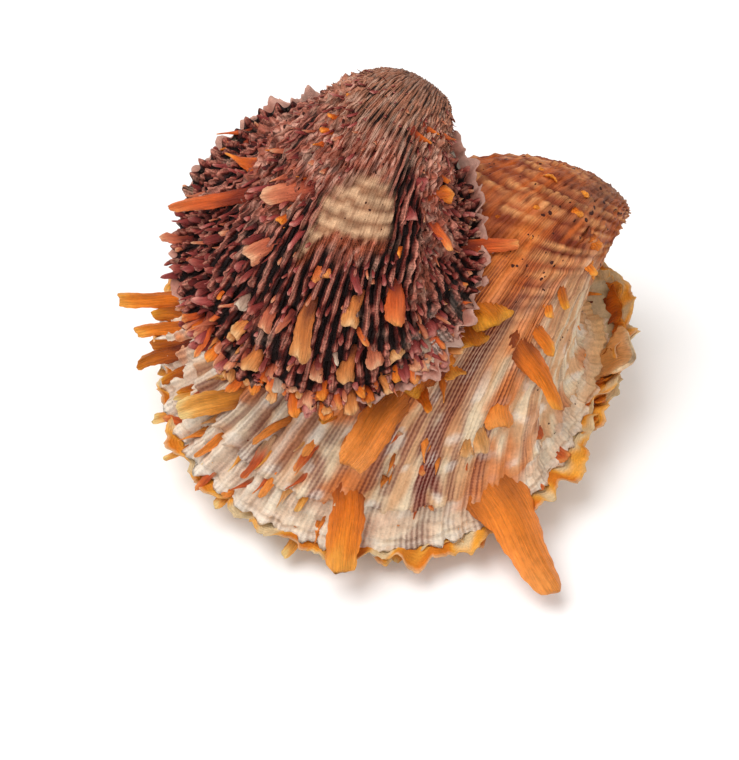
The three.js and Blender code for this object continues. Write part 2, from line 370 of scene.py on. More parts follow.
# Chalky calcite in rough layers: dry, quite matt and hardly ribbed. Its riblets, 2.5 mm apart, are
# weathered to a faint grain.
LOWER_EDGE = math.tau * LARGE_LOWER["reach"][0]
chalk = shell_material("chalky_leafy_shell", LOWER_EDGE, 2.47, 36, 1.06, groove=0.8, mottle=0.16,
                       bump=0.5, roughness=0.75)
around, grown = grid(64, 0.8, columns=540)
wander = 0.012 * ripple(around, grown, 14, 1, 11)
edges = [(0.12, 1.2), (0.24, 1.6), (0.36, 1.6), (0.47, 2.0), (0.57, 1.8), (0.66, 2.2), (0.75, 2.0),
         (0.84, 2.2), (0.93, 1.6)]
height = leaves(grown + wander * 2, edges, 0.06) + 0.5 * ripple(around, grown, 40, 5, 12)
height = height * smooth(0.0, 0.1, grown) - 0.3 * smooth(0.96, 1.0, grown)
blotch = ripple(around, grown, 12, 3, 13)
tone = paint(np.broadcast_to(colour("#cfae7c"), (*grown.shape, 3)),
             ("#e8d5b2", smooth(-0.2, 0.8, ripple(around, grown, 30, 6, 14))),
             ("#e0a04a", 0.75 * smooth(0.35, 1.0, blotch)),
             ("#8d7a63", 0.5 * smooth(0.5, 1.3, ripple(around, grown, 20, 6, 15))))
large_lower_wall = wall("large_lower_wall", LARGE_LOWER, around, grown, height, 0 * grown,
                        {"fine": 0.6 * smooth(0, 0.2, grown)}, tone, chalk)
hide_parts("large_lower_valve")


def frills(name, valve, strips, base, layers, material, seed):
    """Thin ruffled leaves that stand out of a valve. Each strip: from, to (around), grown,
    reach and lift of the leaf, depth and number of its ruffles. Each layer: a colour, and the
    share it has for how far out on the leaf a point is and how mottled the leaf is there."""
    rng = np.random.default_rng(seed)
    rows, half = 90, 9
    across_leaf = np.concatenate([np.linspace(0, 1, half), np.linspace(1, 0, half)])[None]
    face = np.repeat([1.0, -1.0], half)[None]
    loops, tones = [], []
    for begin, finish, grown, reach, lift, ruffle, count in strips:
        t = np.linspace(0, 1, rows)[:, None]
        around = begin + (finish - begin) * t
        points, along, _, up = skin(valve, around, grown + 0 * t)
        lift = math.radians(lift) + 0.25 * np.sin(2 * np.pi * (1.3 * t + rng.random()))[..., None]
        phases = rng.random(6)
        ragged = sum(np.sin(2 * np.pi * (count * k * t + p)) / k ** 1.1
                     for k, p in zip((0.6, 1.3, 2.4, 4.3, 7.7, 13.1), phases))
        long = reach * (0.82 + 0.10 * ragged) * np.sin(np.pi * np.clip(t, 0.004, 0.996)) ** 0.3
        q = across_leaf
        wave = ruffle * q ** 1.5 * np.sin(2 * np.pi * (count * t + phases[0] + 0.1 * np.sin(9 * t)))
        thick = 0.65 * (1 - 0.72 * q) * face
        way = along * np.cos(lift) + up * np.sin(lift)
        stand = up * np.cos(lift) - along * np.sin(lift)
        place = points[:, :1] - way[:, :1] * 2.0 + way[:, :1] * ((long + 2.0) * q)[..., None]
        place = place + stand[:, :1] * (wave + thick - 0.08 * long * q ** 2)[..., None]
        loops.append(place)
        mottled = ripple(around, q, 40, 1, seed + len(loops))
        tones.append(paint(np.broadcast_to(colour(base), (rows, 2 * half, 3)),
                           *[(code, share(q + 0 * t, mottled)) for code, share in layers]))
    loops = np.array(loops)
    if valve["foot"][2] == 0:
        loops[..., 2] = np.maximum(loops[..., 2], 0.4)
    caps = np.stack([loops[:, 0].mean(1), loops[:, -1].mean(1)], 1)
    tones = np.array(tones)
    # Where outward is down, the loops run the other way round, so the faces are turned over.
    if skin(valve, np.zeros((1, 1)), np.full((1, 1), 0.9))[3][0, 0, 2] < 0:
        loops, tones = loops[:, :, ::-1], tones[:, :, ::-1]
    values = {"fine": np.full(loops.shape[:3], 0.3)}
    return lofts(name, loops, caps, values, tones, material)


strips = [(-0.10, 0.03, 0.90, 10.5, 14, 1.4, 5), (0.02, 0.12, 0.91, 9.5, 12, 1.2, 4),
          (0.11, 0.24, 0.92, 9.5, 12, 1.2, 5), (0.23, 0.36, 0.93, 9, 25, 1.2, 5),
          (0.35, 0.50, 0.92, 9, 30, 1.4, 5), (0.48, 0.62, 0.90, 9, 35, 1.5, 5),
          (0.62, 0.72, 0.86, 12, 35, 1.6, 3), (0.705, 0.77, 0.9, 11, 24, 1.2, 2),
          (0.755, 0.82, 0.9, 10, 30, 1.4, 3), (0.79, 0.91, 0.92, 10, 25, 1.3, 5),
          (0.66, 0.73, 0.93, 10, 12, 1.0, 2), (0.71, 0.775, 0.80, 15, 22, 1.6, 2),
          (-0.07, 0.05, 0.82, 8, 25, 1.2, 5), (0.06, 0.19, 0.80, 8, 25, 1.2, 5),
          (0.20, 0.40, 0.74, 9, 30, 1.4, 7), (0.42, 0.62, 0.72, 9, 35, 1.4, 7),
          (0.64, 0.86, 0.66, 10, 35, 1.6, 7), (0.86, 0.99, 0.78, 9, 30, 1.4, 5),
          (0.0, 0.22, 0.55, 7, 35, 1.2, 7), (0.3, 0.6, 0.52, 8, 35, 1.3, 9),
          (0.62, 0.7, 0.99, 6, -10, 0.9, 2), (0.675, 0.735, 0.985, 8, 4, 0.9, 2),
          (0.74, 0.8, 0.985, 7, -4, 1.0, 3)]
# Each leaf is cream at its root and yellow-orange toward its edge.
frills("large_lower_frills", LARGE_LOWER, strips, "#dcc094",
       [("#eba02c", lambda q, n: 0.95 * smooth(-0.6, 0.2, n + 0.5 * q - 0.2)),
        ("#cc6c14", lambda q, n: 0.85 * smooth(0.2, 1.0, n + 0.4 * q)),
        ("#ecd6ae", lambda q, n: 0.45 * smooth(0.9, 1.0, q) * smooth(-0.5, 0.5, n))],
       chalk, 21)

# --- Large upper valve -------------------------------------------------------------------------
# The domed half of the large shell. Red-brown bands of fine riblets run from the curled beak to
# the pale stepped edge; the beak is orange-brown, worn, and bored with pinholes.

LARGE_UPPER = {**LARGE, "reach": (60, 57), "beak": (68, 59, 32), "slant": 30, "turn": 110,
               "curl": 2.25, "widen": 0.7, "swell": 8}

# Spines placed one by one: shape, around, grown, length, width, lift in degrees, sideways lean,
# upward bend, and the palette it is coloured from.
large_placed = [
    ("tongue", 0.912, 0.842, 39, 18, 45, -0.22, -0.02, "orange"),
    ("finger", 0.04, 0.778, 26, 9.5, 42, -0.3, -0.10, "deep"),
    ("finger", 0.037, 0.567, 28, 10, 42, 0.16, -0.05, "orange"),
    ("finger", 0.168, 0.719, 22, 6.5, 38, 0.33, -0.02, "pale"),
    ("blade", 0.297, 0.911, 25, 7.5, 28, -0.11, 0.02, "deep"),
    ("blade", 0.285, 0.88, 14, 7, 24, -0.05, 0.04, "amber"),
    ("blade", 0.27, 0.867, 20, 6, 22, 0.07, 0.0, "deep"),
    ("blade", 0.255, 0.89, 13, 6, 20, 0.25, 0.0, "amber"),
    ("blade", 0.25, 0.902, 16, 7, 20, -0.1, 0.0, "amber"),
    ("tongue", 0.935, 0.473, 24, 8, 24, -0.84, -0.03, "deep"),
    ("blade", 0.927, 0.439, 12, 5.5, 28, -0.83, 0.0, "deep"),
    ("scale", 0.927, 0.576, 12, 8.5, 26, -0.25, 0.05, "orange"),
    ("scale", 0.94, 0.62, 10, 5, 26, -0.3, 0.0, "sand"),
    ("scale", 0.95, 0.64, 8, 4, 26, -0.3, 0.0, "sand"),
    ("thorn", 0.007, 0.522, 9, 3, 30, -0.37, 0.0, "deep"),
    ("thorn", 0.993, 0.63, 9, 3.2, 26, -0.27, 0.0, "orange"),
    ("knob", 0.912, 0.281, 6, 4.5, 38, -1.5, 0.0, "deep"),
    ("blade", 0.892, 0.325, 7, 4.5, 36, -0.74, 0.0, "deep"),
    ("blade", 0.92, 0.37, 10, 4.8, 36, -0.33, 0.0, "amber"),
    ("blade", 0.925, 0.40, 7, 4.5, 34, -0.3, 0.0, "deep"),
    ("blade", 0.08, 0.2, 6.5, 6, 45, -0.2, 0.0, "bright"),
    ("knob", 0.0, 0.2, 4, 3.5, 50, -0.2, 0.0, "bright"),
    ("knob", 0.05, 0.26, 3.5, 3, 50, -0.4, 0.0, "bright"),
    ("thorn", 0.02, 0.3, 5, 3.5, 40, -0.3, 0.0, "bright"),
    ("knob", 0.98, 0.24, 4, 4, 45, -0.5, 0.0, "bright"),
    ("thorn", 0.985, 0.38, 4, 2.6, 34, -0.2, 0.0, "bright"),
    ("blade", 0.752, 0.857, 5, 4, 30, 0.32, 0.0, "orange"),
    ("scale", 0.058, 0.49, 12, 11, 30, -0.1, 0.0, "bright"),
    ("scale", 0.03, 0.41, 15, 14, 24, -1.3, 0.1, "amber"),
    ("scale", 0.02, 0.44, 12, 11, 26, -0.9, 0.1, "amber"),
    ("scale", 0.04, 0.47, 12, 11, 28, -0.6, 0.0, "deep"),
    ("scale", 0.07, 0.55, 12, 12, 26, -0.2, 0.0, "amber"),
    ("scale", 0.012, 0.5, 8, 6, 30, -1.0, 0.1, "deep"),
    ("tongue", 0.026, 0.55, 11, 5, 38, -1.3, 0.4, "bright"),
    ("scale", 0.045, 0.52, 10, 9, 30, 0.5, 0.0, "amber"),
    ("knob", 0.085, 0.62, 8, 11, 20, 0.0, -0.1, "amber"),
    ("knob", 0.035, 0.53, 10, 10, 28, 0.1, 0.0, "amber"),
    ("blade", 0.18, 0.906, 11, 3.5, 28, 0.9, 0.0, "rust"),
    ("blade", 0.14, 0.946, 9, 3, 30, -0.1, 0.0, "rust"),
    ("tongue", 0.155, 0.808, 14, 4, 28, -0.02, 0.0, "orange"),
    ("tongue", 0.12, 0.749, 15, 4, 28, -0.06, -0.05, "rust"),
    ("tongue", 0.083, 0.685, 13, 3.4, 28, 0.06, -0.03, "rust"),
    ("thorn", 0.10, 0.79, 12, 3.2, 25, 0.1, 0.0, "rust"),
    ("blade", 0.075, 0.60, 12, 4, 28, 0.5, 0.0, "amber"),
    ("blade", 0.20, 0.80, 12, 5, 24, 0.3, 0.0, "amber"),
    ("blade", 0.225, 0.86, 11, 5, 22, 0.1, 0.0, "amber"),
    ("thorn", 0.9, 0.52, 6, 3, 24, -0.6, 0.0, "orange"),
    ("scale", 0.86, 0.74, 6, 6, 26, -0.2, 0.0, "rust"),
    ("scale", 0.89, 0.80, 6, 6, 26, -0.2, 0.0, "orange"),
    ("scale", 0.84, 0.92, 7, 5, 26, -0.1, 0.0, "rust"),
]


def roots(rows, around, grown):
    """How a wall swells at the roots of its spines, in millimetres, and how far their colour
    spreads into it."""
    height, tint = np.zeros(grown.shape), np.zeros(grown.shape)
    for _, spot, stage, length, width, *_ in rows:
        across = away(around, spot) / (0.0016 * width / stage ** 0.7)
        back = (grown - stage) / (0.0042 * width)
        back = np.where(back < 0, back * 0.45, back * 2)
        near = np.exp(-across ** 2 - back ** 2)
        height = np.maximum(height, 0.15 * width * near)
        tint = np.maximum(tint, near ** 0.7 * (width > 6))
    return height, tint


# Dense calcite with a low sheen. Its riblets are drawn 1.5 mm apart and its growth lines 1.1 mm
# apart, coarser than they grow, so that they show. The dark red of its rays is in the riblets.
UPPER_EDGE = math.tau * LARGE_UPPER["reach"][0]
ribbed = shell_material("ribbed_cream_and_red_shell", UPPER_EDGE, 1.51, 120, 1.14, groove=0.62,
                        mottle=0.14, bump=0.6, roughness=0.55, pinholes=2.38, band="#6e2012")
MAIN_RIBS = 54
FINE_RIBS = 170
around, grown = grid(120, 1.15, 0.02)
sway = 0.004 * ripple(around, 0 * grown, 9, 0, 31)
rib = 0.5 + 0.5 * np.cos(2 * np.pi * MAIN_RIBS * (around + sway))
fine_rib = np.cos(2 * np.pi * FINE_RIBS * (around + sway))
fold = ripple(around, 0 * grown, 26, 0, 32)
lumps = ripple(around, grown, 60, 14, 33)
wander = 0.010 * ripple(around, grown, 18, 0.5, 34) - 0.007 * (rib - 0.5)
step = leaves(grown + wander, [(0.34, 0.4), (0.47, 0.5), (0.58, 0.5), (0.69, 0.6), (0.815, 2.6),
                               (0.88, 0.7), (0.945, 1.0), (0.985, 0.6)], 0.03)
pauses = leaves(grown + wander, [(0.10, 0.5), (0.13, 0.6), (0.155, 0.6), (0.18, 0.5), (0.205, 0.7),
                                 (0.235, 0.6), (0.262, 0.7), (0.295, 0.6), (0.32, 0.7), (0.36, 0.6),
                                 (0.4, 0.6)], 0.012)
growth_ridges = ripple(around, grown, 8, 100, 43)
# old: the worn, orange-brown shell near the beak. left: the coarser ribs low on the left side.
old = 1 - smooth(0.30, 0.46, grown + 0.03 * ripple(around, grown, 8, 3, 37)
                 - 0.16 * np.clip(away(around, 0.98), -0.2, 0.0))
left = smooth(0.05, 0.12, around) * smooth(0.34, 0.24, around) * smooth(0.45, 0.6, grown)
root_height, root_tint = roots(large_placed, around, grown)
height = ((0.85 + 1.1 * left) * rib * smooth(0.2, 0.8, grown) + 1.1 * fold * smooth(0.2, 0.9, grown)
          + old * (0.32 * growth_ridges + 0.5 * rib * smooth(0.12, 0.25, grown))
          + left * 0.35 * ripple(around, grown, 70, 40, 44)
          + 0.2 * lumps + step * smooth(0.2, 0.5, grown) * (1 - smooth(0.1, 0.6, root_tint))
          + 0.22 * fine_rib * smooth(0.25, 0.4, grown) + pauses + root_height)
# The edge is scalloped by the ribs, and drawn out over the ear.
jut = (smooth(0.985, 1.0, grown) * (1.3 * rib + 0.6 * ripple(around, 0 * grown, 160, 0, 35))
       + 6 * smooth(0.72, 1.0, grown) * np.exp(-(away(around, 0.715) / 0.07) ** 4))


def band(centre, width, drift=0.0):
    """A radial band whose middle drifts as the shell grew."""
    middle = centre + drift * (grown - 0.6) + 0.004 * ripple(around, grown, 5, 5, int(centre * 1000))
    return np.exp(-(away(around, middle) / width) ** 4)


red = np.zeros(grown.shape)
for centre, width, drift, depth in ((0.981, 0.014, -0.03, 1.0), (0.962, 0.006, -0.05, 0.5),
                                    (0.005, 0.006, 0.03, 0.6), (0.026, 0.009, 0.0, 0.75),
                                    (0.945, 0.007, 0.0, 0.25), (0.93, 0.007, 0.0, 0.6),
                                    (0.05, 0.006, 0.0, 0.5), (0.072, 0.008, 0.0, 0.7),
                                    (0.1, 0.01, 0.0, 0.6), (0.13, 0.014, 0.0, 0.8),
                                    (0.165, 0.012, 0.0, 0.7), (0.2, 0.014, 0.0, 0.8),
                                    (0.25, 0.02, 0.0, 0.8), (0.31, 0.02, 0.0, 0.8),
                                    (0.37, 0.014, 0.0, 0.7), (0.43, 0.02, 0.0, 0.8),
                                    (0.5, 0.014, 0.0, 0.7), (0.57, 0.02, 0.0, 0.6),
                                    (0.64, 0.012, 0.0, 0.6), (0.885, 0.006, 0.0, 0.4),
                                    (0.86, 0.006, 0.0, 0.35), (0.82, 0.01, 0.0, 0.3)):
    red = np.maximum(red, depth * band(centre, width, drift))
red = red * (0.86 + 0.14 * ripple(around, grown, 30, 7, 36))
red = red * (1 - 0.5 * smooth(0.81, 0.84, grown + wander))
red = red * (1 - 0.75 * smooth(0.2, 0.9, ripple(around, grown, 44, 12, 29)) * smooth(0.5, 0.65, grown))
red = red * (1 - 0.45 * smooth(0.04, 0.09, around) * smooth(0.3, 0.2, around))
flush = smooth(0.2, 1.1, ripple(around, grown, 24, 5, 38))
tone = paint(np.broadcast_to(colour("#dcac80"), (*grown.shape, 3)),
             ("#ecd4b2", smooth(-0.4, 0.8, ripple(around, grown, 40, 9, 39))),
             ("#cf7c48", 0.6 * flush * smooth(0.3, 0.6, grown)),
             ("#b4694a", 0.5 * smooth(0.1, 0.9, red)),
             ("#9c5a5c", 0.55 * smooth(0.2, 0.9, red) * smooth(0.5, 0.7, grown)),
             ("#f4ecdf", 0.6 * smooth(0.5, 1.1, ripple(around, grown, 50, 16, 45))
              * smooth(0.45, 0.6, grown)),
             ("#b85a26", 0.94 * old),
             ("#6a2410", 0.45 * old * smooth(0.12, 0.5, pauses)),
             # Partly painted light: the shell's own growth lines, lighter on the crests of the growth
             # ridges as painted highlight and darker in their troughs as painted shade.
             ("#e8a468", 0.75 * old * smooth(-0.1, 1.1, growth_ridges)),
             ("#72260c", 0.85 * old * smooth(0.0, 1.0, -growth_ridges)),
             ("#c8601c", 0.6 * old * smooth(0.2, 1.2, ripple(around, grown, 40, 14, 40))),
             ("#64200c", 0.6 * old * smooth(0.5, 1.3, ripple(around, grown, 54, 24, 41))),
             ("#80563f", 0.8 * (1 - smooth(0.17, 0.3, grown)) * smooth(-0.05, 0.1, away(around, 0.9))
              * smooth(-0.2, -0.05, -away(around, 0.9))),
             # Painted shade: purplish brown between the coarse ribs low on the left.
             ("#8c5a48", 0.7 * left * (1 - rib) ** 2),
             ("#f2e6d4", 0.6 * left * rib ** 2),
             ("#ead9c4", 0.55 * smooth(0.0, 0.012, grown + wander - 0.815)),
             ("#e8b472", 0.8 * smooth(0.8, 0.95, grown) * np.exp(-(away(around, 0.715) / 0.08) ** 4)),
             ("#f0e4d4", 0.6 * smooth(0.95, 0.985, grown)),
             ("#d8762c", 0.8 * smooth(0.25, 0.9, root_tint + 0.1 * lumps)))
bored_side = 0.8 * np.exp(-(away(around, 0.84) / 0.06) ** 2) * smooth(0.35, 0.5, grown)
bored = np.clip(old + bored_side, 0, 1) * smooth(-0.9, 0.7, ripple(around, grown, 20, 8, 42))
red = np.clip(red, 0, 1)
carried = {"fine": (0.25 + 0.5 * red) * (1 - 0.55 * old), "band": red * (1 - 0.6 * old),
           "bored": bored}
large_upper_wall = wall("large_upper_wall", LARGE_UPPER, around, grown, height, jut, carried, tone,
                        ribbed)
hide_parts("large_upper_valve")

# The large valve's spines are solid calcite tongues, grown at the edge one by one and left
# standing. They are streaked along their length and paler at the tip.
# Shape of a spine: width at root, waist and tip as shares of its width, thickness, how far its
# edges turn down, and how ragged its end is.
SHAPES = {
    "tongue": (1.12, 0.86, 0.46, 0.32, 0.28, 0.015),
    "finger": (1.0, 0.95, 0.98, 0.38, 0.22, 0.02),
    "blade": (0.9, 0.8, 0.66, 0.28, 0.42, 0.03),
    "scale": (0.62, 0.72, 1.0, 0.22, 0.7, 0.04),
    "thorn": (1.3, 0.75, 0.14, 0.42, 0.24, 0.0),
    "knob": (1.3, 1.1, 0.7, 0.75, 0.05, 0.0),
}


def spines(name, valve, rows, steps, sides, palettes, material, seed):
    """Spines in one mesh, each a loft of so many steps with so many sides. A palette has the
    colours of the root, middle, end and very tip."""
    rng = np.random.default_rng(seed)
    shape = np.array([SHAPES[row[0]] for row in rows])[..., None, None]
    root, waist, tip, thick, gutter, ragged = np.moveaxis(shape, 1, 0)
    data = np.array([row[1:8] for row in rows], float)[..., None, None]
    around, grown, length, width, lift, lean, bend = np.moveaxis(data, 1, 0)
    count = len(rows)
    s = np.linspace(0, 1, steps)[None, :, None] ** 0.9
    theta = 2 * np.pi * np.arange(sides)[None, None] / sides
    random = rng.random((8, count, 1, 1))
    points, along, across, up = skin(valve, around[:, 0, 0], grown[:, 0, 0])
    lift = np.radians(lift[:, :, 0])
    way = unit(along * np.cos(lift) + up * np.sin(lift) + across * lean[:, :, 0])
    side = unit(np.cross(way, up))
    stand = np.cross(side, way)
    outline = root + (waist - root) * smooth(0, 0.35, s) + (tip - waist) * smooth(0.3, 0.88, s)
    outline = outline * (1 + 0.07 * np.sin(2 * np.pi * (1.7 * s + random[0]))
                         + 0.04 * np.sin(2 * np.pi * (4.1 * s + random[1]))
                         + 0.03 * np.sin(2 * np.pi * (9.3 * s + random[2])))
    outline = outline * (1 + 0.2 * (1 - smooth(0, 0.25, s)))
    close = np.maximum(1 - (np.maximum(s - 0.84, 0) / 0.165) ** 3, 0.02) ** (1 / 3)
    half = 0.5 * width * outline * close
    x = half * np.cos(theta)
    body = 0.5 * width * thick * (1.25 - 0.75 * s) * (0.4 + 0.6 * close)
    y = body * np.sin(theta) * (0.8 + 0.2 * np.abs(np.sin(theta)))
    y = y + 0.13 * width * (1 - smooth(0, 0.3, s)) * np.maximum(np.sin(theta), 0)
    y = y - gutter * half * np.cos(theta) ** 2 * (0.4 + 0.6 * s + 1.2 * (1 - smooth(0, 0.22, s)))
    ridge = np.cos(2 * np.pi * (x / (0.8 + 0.08 * width) + random[2] + 0.3 * np.sin(3 * s)))
    y = y + 0.024 * np.minimum(width, 12) * ridge * np.sin(theta) * smooth(0.02, 0.2, s) * close
    torn = (np.sin(x / (0.11 * width) + 6.28 * random[3])
            + 0.4 * np.sin(x / (0.045 * width) + 6.28 * random[4])
            + 1.3 * np.sin(x / (0.3 * width) + 6.28 * random[0]))
    reach = length * (s + ragged * smooth(0.55, 1.0, s) * torn)
    sweep = (0.10 * length * (random[5] - 0.5) * np.sin(2.6 * s)
             + 0.04 * width * np.sin(7 * s + 6 * random[6]))
    sink = np.minimum(6, 0.45 * width + 0.4)
    lateral = x + sweep
    upward = y + bend * length * s ** 2
    forward = reach * (1 - 0.12 * np.abs(bend) * s) - sink
    place = (points[:, None, None] + way[:, None, None] * forward[..., None]
             + side[:, None, None] * lateral[..., None] + stand[:, None, None] * upward[..., None])
    caps = np.stack([place[:, 0].mean(1), place[:, -1].mean(1)], 1)
    run = s + 0 * x
    tint = random[7] + 0 * run
    streak = 0.5 + 0.5 * np.sin(x / (0.11 * width) + 9 * random[2] + 2 * np.sin(3 * s + 6 * random[3]))
    tones = np.zeros((*run.shape, 3))
    for i, row in enumerate(rows):
        low, middle, high, edge = palettes[row[8]]
        fade = run[i] + 0.15 * (streak[i] - 0.5) + 0.2 * (tint[i] - 0.5)
        base = paint(np.broadcast_to(colour(low), (*run[i].shape, 3)), (middle, smooth(0.08, 0.5, fade)),
                     (high, 0.8 * smooth(0.45, 1.0, fade)), (edge, 0.75 * smooth(0.82, 1.02, fade)))
        tones[i] = base * (0.96 + 0.2 * streak[i] + 0.16 * (tint[i] - 0.5))[..., None]
    values = {"fine": x + 0 * run, "run": run}
    return lofts(name, place, caps, values, tones, material)


# How wide the streaks along a spine are, and the flecks on it.
STREAK = 0.417
SPINE_FLECK = 2.0


def spine_material(name, bump, roughness, glow):
    """Dense, waxy shell of a spine, which lets a little light in, streaked along its length. The
    mesh carries its colour, the distance across it in millimetres and the share of its length."""
    m = new_material(name)
    tone = add(m, "Attribute", {"attribute_name": "tone"})
    across = add(m, "Attribute", {"attribute_name": "fine"})
    run = add(m, "Attribute", {"attribute_name": "run"})
    place = add(m, "TexCoord")
    both = add(m, "CombineXYZ", {}, {0: across.outputs["Fac"], 1: run.outputs["Fac"]})
    streaks = add(m, "TexNoise", {"Scale": 1 / STREAK, "Detail": 5.0, "Roughness": 0.65},
                  {"Vector": both.outputs[0]})
    fleck = add(m, "TexNoise", {"Scale": 1 / (SPINE_FLECK * MM), "Detail": 5.0, "Roughness": 0.6},
                {"Vector": place.outputs["Object"]})
    shade = add(m, "MapRange", {"From Min": 0.32, "From Max": 0.68, "To Min": 0.78, "To Max": 1.26},
                {"Value": streaks.outputs["Fac"]})
    spotty = add(m, "MapRange", {"From Min": 0.3, "From Max": 0.7, "To Min": 0.88, "To Max": 1.1},
                 {"Value": fleck.outputs["Fac"]})
    mixed = add(m, "Math", {"operation": "MULTIPLY"}, {0: shade.outputs[0], 1: spotty.outputs[0]})
    final = add(m, "Mix", {"data_type": "RGBA", "blend_type": "MULTIPLY", 0: 1.0},
                {6: tone.outputs["Color"], 7: mixed.outputs[0]})
    lumps = add(m, "Math", {"operation": "MULTIPLY_ADD", 1: 0.5},
                {0: fleck.outputs["Fac"], 2: streaks.outputs["Fac"]})
    normal = add(m, "Bump", {"Strength": bump, "Distance": 0.0012}, {"Height": lumps.outputs[0]})
    shader = add(m, "BsdfPrincipled", {"Roughness": roughness, "IOR": 1.53, "Specular IOR Level": 0.3,
                                       "Subsurface Weight": glow, "Subsurface Scale": 1.0,
                                       "Subsurface Radius": (0.004, 0.0015, 0.0006)},
                 {"Base Color": final.outputs[2], "Normal": normal.outputs[0]})
    add(m, "OutputMaterial", {}, {"Surface": shader.outputs[0]})
    return m


# Orange spines have the smoothest, waxiest shell here.
horn = spine_material("orange_calcite_spine", bump=1.0, roughness=0.42, glow=0.03)
LARGE_PALETTES = {
    "bright": ("#6e2406", "#c85c08", "#e67a12", "#ec9430"),
    "orange": ("#bc641e", "#ea8228", "#f29444", "#e69042"),
    "deep": ("#8a3a0c", "#dc7016", "#ee8a24", "#eca040"),
    "pale": ("#843408", "#e69030", "#f0b058", "#f0d490"),
    "amber": ("#742808", "#b05408", "#d47c10", "#e49a2c"),
    "rust": ("#d0a078", "#c05020", "#dc6c2c", "#e69450"),
    "sand": ("#c49468", "#e09850", "#ecb47c", "#f0d2a8"),
}
# Scattered spines, their values in the same order: stubs and thorns all over, but few where the
# placed ones stand alone, then longer ones low on the left, knobs on the old shell, thorns along
# the front, and a row round the back.
rng = np.random.default_rng(50)
large_scattered = []
for _ in range(150):
    spot, stage = rng.random(), rng.uniform(0.25, 0.99)
    bare_front = abs(away(spot, 0)) < 0.22 and stage < 0.68
    if bare_front or 0.7 < spot < 0.85 and rng.random() < 0.6:
        continue
    kind = ("thorn", "blade", "scale")[rng.integers(3)]
    look = ("rust", "rust", "orange", "sand")[rng.integers(4)]
    large_scattered.append((kind, spot, stage, rng.uniform(3, 7), rng.uniform(1.8, 3.6),
                            rng.uniform(18, 34), rng.uniform(-0.3, 0.3), rng.uniform(-0.1, 0.15),
                            look))
for _ in range(26):
    large_scattered.append((("blade", "thorn")[rng.integers(2)], rng.uniform(0.06, 0.21),
                            rng.uniform(0.66, 0.97), rng.uniform(8, 14), rng.uniform(2.4, 4.0),
                            rng.uniform(14, 30), rng.uniform(-0.2, 0.5), 0.0,
                            ("rust", "orange", "pale", "sand")[rng.integers(4)]))
for _ in range(16):
    large_scattered.append(("knob", rng.uniform(-0.2, 0.14), rng.uniform(0.16, 0.4), rng.uniform(1.5, 3),
                            rng.uniform(1.6, 3.4), 50, rng.uniform(-0.5, 0.5), 0.0, "bright"))
for _ in range(34):
    large_scattered.append(("thorn", rng.uniform(-0.08, 0.07), rng.uniform(0.62, 0.93), rng.uniform(3, 7),
                            rng.uniform(1.6, 2.8), 16, rng.uniform(-0.2, 0.2), 0.0,
                            ("rust", "orange")[rng.integers(2)]))
for spot in np.linspace(0.46, 0.7, 9):
    large_scattered.append(("thorn", spot, rng.uniform(0.7, 0.95), rng.uniform(8, 14), 4.5, 40, 0.0, 0.0,
                            "deep"))
spines("large_upper_main_spines", LARGE_UPPER, large_placed, 30, 30, LARGE_PALETTES, horn,
       51)
spines("large_upper_small_spines", LARGE_UPPER, large_scattered, 12, 12, LARGE_PALETTES, horn,
       52)

# The lower valve's spines are of the same shell: broad leaf scales on the ear, then a row that
# looks out from under the edge, each with its place around and its length.
lower_placed = [
    ("scale", 0.757, 0.985, 15, 15, 4, 0.0, 0.0, "sand"),
    ("scale", 0.715, 0.98, 9, 11, 2, 0.2, 0.0, "bright"),
    ("blade", 0.7, 0.985, 8, 8, 0, 0.3, 0.0, "deep"),
    ("scale", 0.765, 0.96, 10, 11, 18, -0.2, 0.0, "amber"),
    ("blade", 0.73, 0.99, 8, 9, -12, 0.3, 0.0, "deep"),
    ("scale", 0.785, 0.95, 10, 9, 16, -0.2, 0.0, "bright"),
    ("blade", 0.8, 0.93, 10, 8, 24, 0.1, 0.0, "deep"),
    ("scale", 0.69, 0.93, 10, 9, 20, 0.2, 0.0, "sand"),
]
for spot, long in ((0.97, 12), (0.985, 9), (0.04, 8), (0.06, 12), (0.085, 9), (0.12, 11), (0.15, 8),
                   (0.2, 13), (0.24, 9), (0.4, 12), (0.45, 8), (0.5, 12), (0.57, 12), (0.62, 9)):
    turn = int(spot * 100) % 2
    lower_placed.append((("blade", "thorn")[turn], spot, 0.9, long, 5, 40, 0.1, 0.0,
                         ("pale", "orange")[turn]))
spines("large_lower_spines", LARGE_LOWER, lower_placed, 20, 20, LARGE_PALETTES, horn, 53)

# --- Small lower valve -------------------------------------------------------------------------
# The half by which the small shell is cemented to the large one. It is chalky calcite like the
# large lower valve, in thinner leaves, whitish and dull pink.

SMALL = {"middle": (-11, 13.5, 75.5), "tilt": 28, "roll": -4}
SMALL_LOWER = {**SMALL, "reach": (38.5, 39.5), "foot": (-1, 17, 58), "stance": (19, 20), "lean": 10,
               "ear": (0.2, 0.59)}
around, grown = grid(48, 0.8, columns=480)
wander = 0.012 * ripple(around, grown, 14, 1, 61)
edges = [(0.25, 1.0), (0.45, 1.2), (0.6, 1.3), (0.75, 1.4), (0.87, 1.4)]
height = leaves(grown + wander * 2, edges, 0.08) + 0.35 * ripple(around, grown, 40, 5, 62)
height = height * smooth(0.0, 0.2, grown) - 0.3 * smooth(0.96, 1.0, grown)
tone = paint(np.broadcast_to(colour("#a87866"), (*grown.shape, 3)),
             ("#d8b8a4", smooth(-0.2, 0.8, ripple(around, grown, 24, 6, 63))),
             ("#7d4a4a", 0.7 * smooth(0.2, 1.0, ripple(around, grown, 30, 5, 64))),
             ("#9a9a90", 0.6 * smooth(0.4, 1.2, ripple(around, grown, 14, 4, 65))))
small_lower_wall = wall("small_lower_wall", SMALL_LOWER, around, grown, height, 0 * grown,
                        {"fine": 0.6 + 0 * grown}, tone, chalk)
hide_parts("small_lower_valve")
